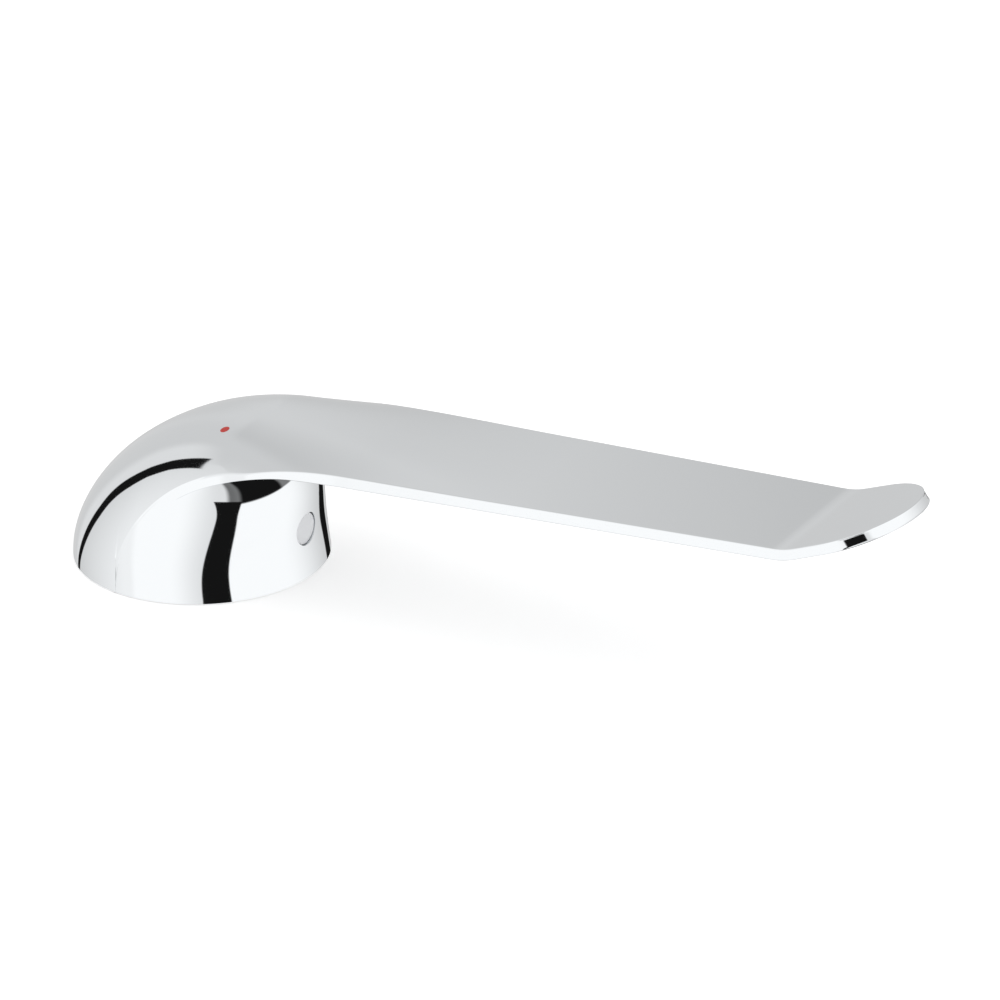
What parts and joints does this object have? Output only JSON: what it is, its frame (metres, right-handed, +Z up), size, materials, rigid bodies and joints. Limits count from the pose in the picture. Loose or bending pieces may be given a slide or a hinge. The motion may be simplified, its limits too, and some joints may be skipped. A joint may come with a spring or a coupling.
{
  "type": "tap lever handle",
  "caption": "Long chromed lever handle for a single-lever mixer tap: domed hood over a round skirt, flat blade with an upturned rounded lip, plugged clamping screw in the neck.",
  "frame": {"origin": "centre of the skirt's round rim, in the plane of the rim", "axes": "+X along the lever from the skirt towards the lip, +Z up along the axis of the cartridge stem"},
  "size_m": [0.1978, 0.0562, 0.0499],
  "materials": {
    "chromed_casting": "polished",
    "plug_plastic": "smooth",
    "screw_steel": "plain",
    "hot_enamel": "gloss",
    "cold_enamel": "gloss"
  },
  "bodies": {
    "root": {"lever_body": "chromed_casting", "screw_plug": "plug_plastic", "set_screw": "screw_steel", "hot_mark": "hot_enamel", "cold_mark": "cold_enamel"}
  },
  "joints": []
}
